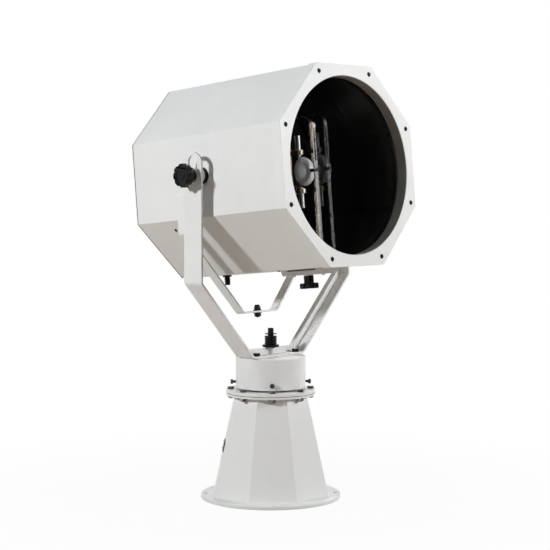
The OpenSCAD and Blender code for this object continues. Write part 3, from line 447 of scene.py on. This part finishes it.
metalCoat = {"skinScale": 900.0, "skinHeight": 0.0003}
metalFinishes = {
    "plated_steel": {
        "name": "platedSteel", "light": grey(0.62, 0.02), "deep": grey(0.44, 0.03), "metallic": 1.0,
        "roughLow": 0.24, "roughHigh": 0.42, "cloudScale": 16.0, "skin": 0.05,
    },
    # the reflector's colour is set far darker than a polished mirror's: painted shade that keeps its bowl dark
    "polished_mirror": {
        "name": "darkenedMirror", "light": grey(0.11), "deep": grey(0.09), "metallic": 1.0,
        "roughLow": 0.05, "roughHigh": 0.10, "cloudScale": 16.0, "skin": 0.01,
    },
    "brass": {
        "name": "turnedBrass", "light": (0.66, 0.56, 0.43, 1), "deep": (0.30, 0.23, 0.16, 1),
        "metallic": 1.0, "roughLow": 0.22, "roughHigh": 0.38, "cloudScale": 16.0, "skin": 0.05,
    },
    "weathered_steel": {
        "name": "weatheredSteel", "light": grey(0.12, 0.03), "deep": grey(0.05, 0.03), "metallic": 1.0,
        "roughLow": 0.35, "roughHigh": 0.55, "cloudScale": 16.0, "skin": 0.05,
    },
    "satin_dome": {
        "name": "satinDome", "light": grey(0.92), "deep": grey(0.84), "metallic": 0.15,
        "roughLow": 0.34, "roughHigh": 0.44, "cloudScale": 16.0, "skin": 0.05,
    },
    # plating made dark and strongly mottled, for the ring's nuts and the lamp's post
    "dark_mottled_plating": {
        "name": "darkMottledPlating", "light": grey(0.46, 0.02), "deep": grey(0.08, 0.03), "metallic": 1.0,
        "roughLow": 0.20, "roughHigh": 0.40, "cloudScale": 34.0, "skin": 0.05,
    },
}


def metalFinish(look):
    material, tree, shader = newFinish(look["name"], Metallic=look["metallic"])
    coat = useGroup(tree, mottle, Cloud_Scale=look["cloudScale"], Skin_Scale=metalCoat["skinScale"])
    feed(tree, shader["Base Color"], mixColours(tree, coat["Cloud"], look["light"], look["deep"]))
    feed(tree, shader["Roughness"], roughFrom(tree, coat["Cloud"], look))
    feed(tree, shader["Normal"], bumpFrom(tree, coat["Skin"], look["skin"], metalCoat["skinHeight"]))
    return material


# an alpha below 1 lets the lamps' light through to the inside
glassLook = {
    "tint": (0.95, 0.97, 0.96, 1), "index": 1.45, "alpha": 0.12, "filmScale": 9.0, "filmDetail": 5,
    "filmRough": 0.6, "filmLow": 0.4, "filmHigh": 0.8, "roughLow": 0.0, "roughHigh": 0.03,
}


def clearGlass():
    look = glassLook
    material, tree, shader = newFinish(
        "clearGlass", Base_Color=look["tint"], Transmission_Weight=1.0, IOR=look["index"],
        Alpha=look["alpha"],
    )
    film = noiseNode(tree, look["filmScale"], look["filmDetail"], look["filmRough"])
    rough = mapRange(tree, film, look["filmLow"], look["filmHigh"], look["roughLow"], look["roughHigh"])
    feed(tree, shader["Roughness"], rough)
    return material


finishes = {"white_enamel": whiteEnamel(), "barrel_enamel": barrelEnamel(), "clear_glass": clearGlass()}
for finishName, finishLook in darkFinishes.items():
    finishes[finishName] = darkFinish(finishLook)
for finishName, finishLook in metalFinishes.items():
    finishes[finishName] = metalFinish(finishLook)
print("finishes made:", len(finishes))

# CAD nodes keep their shape and take a finish; those that show get a copy with rounded edges, in metres
edgeRounding = {
    "base_flange": 0.0015, "pedestal_shell": 0.0020, "pedestal_ring": 0.0013, "spindle": 0.0013,
    "turntable_drum": 0.0012, "yoke": 0.0010, "cable_nipple": 0.0008, "cable_boot": 0.0007,
    "barrel_shell": 0.0009, "front_bezel": 0.0008, "rear_cover": 0.0007, "glass_ring": 0.0006,
    "trunnion_left": 0.0010, "trunnion_right": 0.0010, "clamp_washers": 0.0006, "elevating_bracket": 0.0008,
    "focus_rail": 0.0007, "cable_gland": 0.0005, "ring_bolts": 0.0006, "ring_nuts": 0.0006,
    "yoke_bolts": 0.0008, "bracket_nuts": 0.0006, "bracket_washers": 0.0005, "rail_screws": 0.0005,
    "tilt_knob_left": 0.0012, "tilt_knob_right": 0.0012, "focus_knob": 0.0012,
    "lamp_post": 0.0007, "lamp_frame": 0.0006, "lamp_caps": 0.0008,
}

# nodes that don't take the plain finish of their slot
ownFinish = {
    "barrel_shell": "barrel_enamel", "trunnion_left": "barrel_enamel", "trunnion_right": "barrel_enamel",
    "ring_bolts": "weathered_steel", "ring_nuts": "dark_mottled_plating", "lamp_post": "dark_mottled_plating",
    "trunnion_nuts": "matt_black", "bracket_screws": "matt_black", "reflector_screws": "matt_black",
    "shield_mirror": "satin_dome",
}


def softenNode(nodeName, width):
    piece = copyPiece(nodes[nodeName])
    piece.name = nodeName + "_finish"
    piece.parent = None
    for key in list(piece.keys()):
        del piece[key]
    editMode()
    bpy.ops.mesh.remove_doubles(threshold=toolLimits["mergeDistance"])
    bpy.ops.mesh.dissolve_limited(angle_limit=math.radians(toolLimits["flatAngle"]))
    objectMode()
    roundEdges(width)
    slot = slotOfNode[nodeName]
    finishPiece(piece, bodyOfNode[nodeName], finishes[slot])
    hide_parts(nodeName)
    return piece


for nodeName, cadNode in nodes.items():
    setMaterial(cadNode, finishes[slotOfNode[nodeName]])
softened = {nodeName: softenNode(nodeName, width) for nodeName, width in edgeRounding.items()}
for nodeName, finishName in ownFinish.items():
    setMaterial(softened.get(nodeName, nodes[nodeName]), finishes[finishName])
print("CAD nodes finished:", len(nodes), "with rounded edges:", len(softened))


# finer pieces that ride on the CAD: metres and degrees

def socketCut(piece, across, depth, top):
    # hexagon socket sunk into a screw's head from its top
    bpy.ops.mesh.primitive_cylinder_add(
        vertices=6, radius=across / 2 / math.cos(math.radians(30)), depth=2 * depth, location=(0, 0, top)
    )
    cutter = startPiece("socketCutter")
    pick(piece)
    applyModifier("BOOLEAN", object=cutter, operation="DIFFERENCE", solver="EXACT")
    bpy.data.objects.remove(cutter)


coverScrewLook = {
    "headRadius": 0.0043, "headHeight": 0.0035, "headSides": 32, "crown": 0.0013, "crownSteps": 3,
    "socketAcross": 0.0040, "socketDepth": 0.0022, "shankRadius": 0.003, "shankLength": 0.011,
    "turnStep": 37,
}


def coverScrew():
    look = coverScrewLook
    deselectAll()
    bpy.ops.mesh.primitive_cylinder_add(
        vertices=look["headSides"], radius=look["headRadius"], depth=look["headHeight"],
        location=(0, 0, look["headHeight"] / 2),
    )
    screw = startPiece("coverScrew")
    applyPlace()
    selectFaces(screw, lambda face: face.normal.z > toolLimits["facing"])
    bpy.ops.mesh.bevel(offset=look["crown"], segments=look["crownSteps"], affect="EDGES")
    selectFaces(screw, lambda face: face.normal.z < -toolLimits["facing"])
    bpy.ops.mesh.inset(thickness=look["headRadius"] - look["shankRadius"])
    bpy.ops.mesh.extrude_region_move(TRANSFORM_OT_translate={"value": (0, 0, -look["shankLength"])})
    objectMode()
    socketCut(screw, look["socketAcross"], look["socketDepth"], look["headHeight"])
    return screw


def spreadScrews(screw, nodeName, outward):
    # a copy at each solid of the node, its head on the cover's face
    copies = []
    for index, (low, high) in enumerate(solidSpans(nodeName, barrelAxes)):
        middle = (low + high) / 2
        head = coverScrewLook["headHeight"]
        middle.z = high.z - head if outward.dot(beam) > 0 else low.z + head
        turn = Matrix.Rotation(math.radians(coverScrewLook["turnStep"] * index), 4, "Z")
        copies.append(copyPiece(screw))
        placePiece(copies[-1], standOn(alongAxes(barrelAxes, middle), outward) @ turn)
    joined = joinPieces(nodeName + "_socketed", copies)
    finishPiece(joined, "barrel", finishes["black_steel"])
    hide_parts(nodeName)


# two small screws in the barrel's sheet: place across, up and along the beam from the tilt axis, way out
sheetScrews = [
    {"place": (-0.2375, -0.1338, -0.1415), "out": (-1, -1, 0), "scale": 0.75},
    {"place": (-0.1000, -0.2625, 0.0980), "out": (0, -1, 0), "scale": 0.85},
]


def addSheetScrews(screw):
    copies = []
    for look in sheetScrews:
        point = pivot + alongAxes(barrelAxes, look["place"])
        stand = standOn(point, alongAxes(barrelAxes, look["out"]), beam)
        copies.append(copyPiece(screw))
        placePiece(copies[-1], stand @ Matrix.Scale(look["scale"], 4))
    joined = joinPieces("sheetScrews", copies)
    finishPiece(joined, "barrel", finishes["black_steel"])


# axisBand is wide enough to find one screw's points beside the diagonal it lies on
lockScrewLook = {
    "headRadius": 0.0066, "headHeight": 0.0066, "headSides": 32, "chamfer": 0.0007,
    "socketAcross": 0.0062, "socketDepth": 0.0034, "threadRadius": 0.004, "threadSides": 20,
    "root": 0.86, "pitch": 0.00125, "axisBand": 0.012, "bearings": (45, 135, 225, 315),
}


def lockScrew(length):
    # socket head on a threaded shank, its turns made ring by ring
    look = lockScrewLook
    deselectAll()
    bpy.ops.mesh.primitive_circle_add(
        vertices=look["threadSides"], radius=look["threadRadius"] * look["root"], fill_type="NGON"
    )
    screw = startPiece("lockScrew")
    editMode()
    bpy.ops.mesh.flip_normals()
    for turn in range(round(length / look["pitch"])):
        for scale in (1 / look["root"], look["root"]):
            bpy.ops.mesh.extrude_region_move(TRANSFORM_OT_translate={"value": (0, 0, look["pitch"] / 2)})
            bpy.ops.transform.resize(value=(scale, scale, 1), center_override=(0, 0, 0))
    objectMode()
    bpy.ops.mesh.primitive_cylinder_add(
        vertices=look["headSides"], radius=look["headRadius"], depth=look["headHeight"],
        location=(0, 0, length + look["headHeight"] / 2),
    )
    head = startPiece("lockHead")
    applyPlace()
    roundEdges(look["chamfer"])
    socketCut(head, look["socketAcross"], look["socketDepth"], length + look["headHeight"])
    return joinPieces("lockScrew", [screw, head])


def addLockScrews():
    look = lockScrewLook
    low, high = solidSpans("pan_lock_screws", worldAxes)[0]
    height = (low.z + high.z) / 2
    points = [v.co for v in nodes["pan_lock_screws"].data.vertices]
    diagonal = outwardAt(look["bearings"][0])
    reach = max(diagonal.dot(point) for point in points)
    onDiagonal = [point for point in points if abs(point.x - point.y) < look["axisBand"] and point.x > 0]
    tip = min(diagonal.dot(point) for point in onDiagonal)
    screw = lockScrew(reach - tip - look["headHeight"])
    copies = []
    for bearing in look["bearings"]:
        outward = outwardAt(bearing)
        copies.append(copyPiece(screw))
        placePiece(copies[-1], standOn(outward * tip + upright * height, outward))
    bpy.data.objects.remove(screw)
    joined = joinPieces("panLockScrews_threaded", copies)
    finishPiece(joined, "turntable", finishes["weathered_steel"])
    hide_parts("pan_lock_screws")


plateLook = {
    "bearing": 135, "height": 0.1425, "width": 0.060, "tall": 0.031, "thick": 0.0025, "edge": 0.0004,
    "corner": 0.004, "cornerSteps": 5, "rivetRadius": 0.0024, "rivetInset": 0.006, "rivetFlat": 0.6,
    "rivetSides": 16, "rivetRings": 10, "topBand": 0.0005,
}


def addBlankPlate():
    # bare rating plate with four rivets on one face of the pedestal
    look = plateLook
    low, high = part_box("pedestal_shell")
    topPoints = [v.co for v in nodes["pedestal_shell"].data.vertices if v.co.z > high.z - look["topBand"]]
    slope = (high.x - max(point.x for point in topPoints)) / (high.z - low.z)
    outward = outwardAt(look["bearing"])
    seat = outward * (high.x - slope * (look["height"] - low.z)) + upright * look["height"]
    deselectAll()
    bpy.ops.mesh.primitive_plane_add(size=1)
    plate = startPiece("blankPlate")
    editMode()
    bpy.ops.transform.resize(value=(look["width"], look["tall"], 1))
    bpy.ops.mesh.bevel(offset=look["corner"], segments=look["cornerSteps"], affect="VERTICES")
    editMode()
    bpy.ops.mesh.extrude_region_move(TRANSFORM_OT_translate={"value": (0, 0, look["thick"])})
    bpy.ops.mesh.select_all(action="SELECT")
    bpy.ops.mesh.normals_make_consistent(inside=False)
    objectMode()
    roundEdges(look["edge"])
    pieces = [plate]
    toSide = look["width"] / 2 - look["rivetInset"]
    toTop = look["tall"] / 2 - look["rivetInset"]
    for spot in ((-toSide, -toTop), (-toSide, toTop), (toSide, -toTop), (toSide, toTop)):
        bpy.ops.mesh.primitive_uv_sphere_add(
            segments=look["rivetSides"], ring_count=look["rivetRings"], radius=look["rivetRadius"],
            location=spot + (look["thick"],),
        )
        rivet = startPiece("plateRivet")
        rivet.scale = (1, 1, look["rivetFlat"])
        applyPlace()
        pieces.append(rivet)
    plate = joinPieces("blankPlate", pieces)
    placePiece(plate, standOn(seat, outward + upright * slope))
    finishPiece(plate, "base", finishes["black_steel"])


# painted weld beads: sides of the ring, radius to a corner, radius of the bead and height
weldBeads = {
    "footWeld": {"body": "base", "sides": 8, "radius": 0.1695, "bead": 0.0028, "height": 0.0100},
    "topWeld": {"body": "base", "sides": 8, "radius": 0.1070, "bead": 0.0022, "height": 0.2850},
    "nippleWeld": {"body": "turntable", "sides": 48, "radius": 0.0114, "bead": 0.0014, "height": 0.3990},
}
beadRound = {"sides": 12, "smoothAngle": 60}


def addWeldBead(name, look):
    deselectAll()
    bpy.ops.mesh.primitive_torus_add(
        major_segments=look["sides"], minor_segments=beadRound["sides"],
        major_radius=look["radius"], minor_radius=look["bead"],
    )
    bead = startPiece(name)
    halfSide = Matrix.Rotation(math.radians(180 / look["sides"]), 4, "Z")
    placePiece(bead, Matrix.Translation(upright * look["height"]) @ halfSide)
    finishPiece(bead, look["body"], finishes["white_enamel"], beadRound["smoothAngle"])


electrodeLook = {
    "gap": 0.003, "length": 0.0085, "sides": 24,
    "anodeRadius": 0.0032, "anodeEdge": 0.0012, "anodeSteps": 3,
    "cathodeRadius": 0.002, "cathodeTip": 0.0003, "leadRadius": 0.001, "leadSides": 12,
}


def addElectrodes():
    # the pair of electrodes inside the lamp's bulb, on the lamp's own upright axis
    look = electrodeLook
    low, high = solidSpans("lamp_bulb", barrelAxes)[0]
    middle = alongAxes(barrelAxes, (low + high) / 2)
    deselectAll()
    start = look["gap"] / 2
    bpy.ops.mesh.primitive_cylinder_add(
        vertices=look["sides"], radius=look["anodeRadius"], depth=look["length"],
        location=(0, 0, start + look["length"] / 2),
    )
    anode = startPiece("anode")
    applyPlace()
    roundEdges(look["anodeEdge"], look["anodeSteps"])
    bpy.ops.mesh.primitive_cone_add(
        vertices=look["sides"], radius1=look["cathodeRadius"], radius2=look["cathodeTip"],
        depth=look["length"], location=(0, 0, -start - look["length"] / 2),
    )
    cathode = startPiece("cathode")
    pieces = [anode, cathode]
    reach = (high.y - low.y) / 2 - start - look["length"]
    for side in (-1, 1):
        bpy.ops.mesh.primitive_cylinder_add(
            vertices=look["leadSides"], radius=look["leadRadius"], depth=reach,
            location=(0, 0, side * (start + look["length"] + reach / 2)),
        )
        pieces.append(startPiece("lead"))
    lamp = joinPieces("lampElectrodes", pieces)
    applyPlace()
    placePiece(lamp, standOn(middle, barrelUp, beam))
    finishPiece(lamp, "lamp_carriage", finishes["plated_steel"])


tubeSides = 96


def addTube(name, length, outer, inner, place, body, material):
    # thin ring about the z axis of the place given, from its origin upwards
    deselectAll()
    bpy.ops.mesh.primitive_cylinder_add(
        vertices=tubeSides, radius=outer, depth=length, location=(0, 0, length / 2), end_fill_type="NOTHING"
    )
    tube = startPiece(name)
    applyPlace()
    applyModifier("SOLIDIFY", thickness=outer - inner, offset=-1)
    placePiece(tube, place)
    finishPiece(tube, body, material)


# grey rubber lining inside the front opening, from just behind its edge to the glass
liningLook = {"thick": 0.0005, "setBack": 0.0012, "apart": 0.0001}


def addLining():
    look = liningLook
    bezel = [v.co - pivot for v in nodes["front_bezel"].data.vertices]
    glass = [v.co - pivot for v in nodes["front_glass"].data.vertices]
    opening = min((point - beam * beam.dot(point)).length for point in bezel)
    front = max(beam.dot(point) for point in bezel) - look["setBack"]
    back = max(beam.dot(point) for point in glass) + look["apart"]
    outer = opening * math.cos(math.pi / tubeSides) - look["apart"]
    addTube(
        "openingLining", front - back, outer, outer - look["thick"],
        standOn(pivot + beam * back, beam), "barrel", finishes["grey_rubber"],
    )


# black friction ring round each trunnion's boss, against the barrel's side
# share and bossFrom are parts of the gap to the yoke: the ring's length, and where the boss is measured
frictionLook = {"thick": 0.0016, "share": 0.36, "apart": 0.0002, "bossFrom": 0.1}


def addFrictionRings():
    look = frictionLook
    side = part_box("barrel_shell")[1].x
    gap = min(abs(v.co.x) for v in nodes["yoke"].data.vertices if v.co.z > pivot.z) - side
    bossStart = side + gap * look["bossFrom"]
    for name, hand in (("trunnion_left", -1), ("trunnion_right", 1)):
        points = [v.co for v in nodes[name].data.vertices]
        boss = max((point - pivot).yz.length for point in points if abs(point.x) > bossStart)
        inner = boss + look["apart"]
        outward = sideways * hand
        addTube(
            name + "_ring", gap * look["share"], inner + look["thick"], inner,
            standOn(pivot + outward * (side + look["apart"]), outward), "barrel", finishes["black_rubber"],
        )


screw = coverScrew()
spreadScrews(screw, "bezel_screws", beam)
spreadScrews(screw, "rear_screws", -beam)
addSheetScrews(screw)
bpy.data.objects.remove(screw)
addLockScrews()
addBlankPlate()
for beadName, beadLook in weldBeads.items():
    addWeldBead(beadName, beadLook)
addElectrodes()
addLining()
addFrictionRings()
print("finer pieces made")

# camera at the photograph's place: metres and degrees, found from the octagon's and the rings' edges
cameraPlace = {"spot": (-3.2058, -2.9700, 0.8751), "turn": -47.342, "pitch": -3.4, "field": 19.64}


def addCamera():
    data = bpy.data.cameras.new("photoCamera")
    data.angle = math.radians(cameraPlace["field"])
    camera = bpy.data.objects.new("photoCamera", data)
    bpy.context.scene.collection.objects.link(camera)
    camera.location = cameraPlace["spot"]
    camera.rotation_euler = (
        math.radians(90 + cameraPlace["pitch"]), 0, math.radians(cameraPlace["turn"])
    )
    bpy.context.scene.camera = camera
    return camera


camera = addCamera()

# lamps: bearing is the angle from the camera's side of the object, positive to the camera's right
keyTint = (0.955, 0.98, 1)
softTint = (0.965, 0.985, 1)
studioLamps = {
    "leftKey": {"bearing": -53, "height": 2.3, "distance": 4.2, "size": 0.42, "tint": keyTint, "power": 136},
    "frontRight": {"bearing": 76, "height": 1.8, "distance": 4, "size": 0.9, "tint": softTint, "power": 103},
    "rightSide": {"bearing": 95, "height": 2.1, "distance": 4, "size": 0.9, "tint": softTint, "power": 28},
    "topSoft": {"bearing": -20, "height": 4.4, "distance": 1.2, "size": 2, "tint": softTint, "power": 18},
    "backSoft": {"bearing": 176, "height": 3.4, "distance": 4, "size": 1.2, "tint": softTint, "power": 48},
}
lampAim = Vector((0, 0, 0.75))


def addLamp(name, look):
    data = bpy.data.lights.new(name, "AREA")
    data.shape = "SQUARE"
    data.size = look["size"]
    data.energy = look["power"]
    data.color = look["tint"]
    lamp = bpy.data.objects.new(name, data)
    bpy.context.scene.collection.objects.link(lamp)
    toCamera = Vector((camera.location.x, camera.location.y, 0)).normalized()
    outward = Matrix.Rotation(math.radians(look["bearing"]), 3, "Z") @ toCamera
    lamp.location = outward * look["distance"] + upright * look["height"]
    lamp.rotation_euler = (lampAim - lamp.location).to_track_quat("-Z", "Y").to_euler()


for lampName, lampLook in studioLamps.items():
    addLamp(lampName, lampLook)

floorLook = {
    "size": 30.0, "below": 0.0005, "colour": (0.52, 0.45, 0.375, 1), "shadowNear": 0.5, "shadowFar": 1.3,
    "shadowShare": 0.04,
}
worldLook = {"ambient": 0.02, "colour": (1, 1, 1, 1)}


def seenByEye(tree):
    # 1 where the camera, a reflection or a glass looks at the background
    path = addNode(tree, "ShaderNodeLightPath").outputs
    either = mathNode(tree, "MAXIMUM", path["Is Camera Ray"], path["Is Glossy Ray"])
    return mathNode(tree, "MAXIMUM", either, path["Is Transmission Ray"])


def addFloor():
    look = floorLook
    deselectAll()
    bpy.ops.mesh.primitive_plane_add(size=look["size"], location=(0, 0, -look["below"]))
    floor = startPiece("studioFloor")
    applyPlace()
    material = bpy.data.materials.new("paleFloor")
    material.use_nodes = True
    tree = material.node_tree
    tree.nodes.remove(tree.nodes["Principled BSDF"])
    matt = addNode(tree, "ShaderNodeBsdfDiffuse")
    feed(tree, matt.inputs["Color"], look["colour"])
    white = addNode(tree, "ShaderNodeEmission")
    length = addNode(tree, "ShaderNodeVectorMath", operation="LENGTH")
    feed(tree, length.inputs[0], objectPlace(tree))
    share = mapRange(
        tree, length.outputs["Value"], look["shadowNear"], look["shadowFar"], 1 - look["shadowShare"], 1
    )
    mix = addNode(tree, "ShaderNodeMixShader")
    feed(tree, mix.inputs["Fac"], mathNode(tree, "MULTIPLY", share, seenByEye(tree)))
    feed(tree, mix.inputs[1], matt.outputs[0])
    feed(tree, mix.inputs[2], white.outputs[0])
    feed(tree, tree.nodes["Material Output"].inputs["Surface"], mix.outputs[0])
    setMaterial(floor, material)


def addWorld():
    world = bpy.data.worlds.new("studioWorld")
    bpy.context.scene.world = world
    world.use_nodes = True
    tree = world.node_tree
    background = tree.nodes["Background"].inputs
    feed(tree, background["Color"], worldLook["colour"])
    feed(tree, background["Strength"], mapRange(tree, seenByEye(tree), 0, 1, worldLook["ambient"], 1))


# black cloth in front of the light, seen by reflections and glass alone: it keeps the mirror's bowl dark
clothLook = {
    "radius": 2.4, "sides": 48, "rings": 24, "flatten": 0.34, "leftLimit": -40, "clearOfFront": 0.45,
    "colour": (0.004, 0.004, 0.004, 1),
}


def addCloth():
    look = clothLook
    deselectAll()
    bpy.ops.mesh.primitive_uv_sphere_add(
        segments=look["sides"], ring_count=look["rings"], radius=look["radius"], location=pivot
    )
    cloth = startPiece("blackCloth")
    cloth.scale = (1, 1, look["flatten"])  # its lower half stays above the floor
    applyPlace()
    editMode()
    bpy.ops.mesh.bisect(plane_co=(0, -look["clearOfFront"], 0), plane_no=(0, 1, 0), clear_outer=True)
    bpy.ops.mesh.select_all(action="SELECT")
    limit = math.radians(look["leftLimit"])
    bpy.ops.mesh.bisect(plane_co=pivot, plane_no=(math.cos(limit), math.sin(limit), 0), clear_inner=True)
    objectMode()
    setMaterial(cloth, newFinish("clothBlack", Base_Color=look["colour"], Roughness=1.0)[0])
    cloth.visible_camera = False
    cloth.visible_diffuse = False
    cloth.visible_shadow = False


addFloor()
addWorld()
addCloth()
bpy.context.scene.view_settings.view_transform = "Standard"
print("studio set")
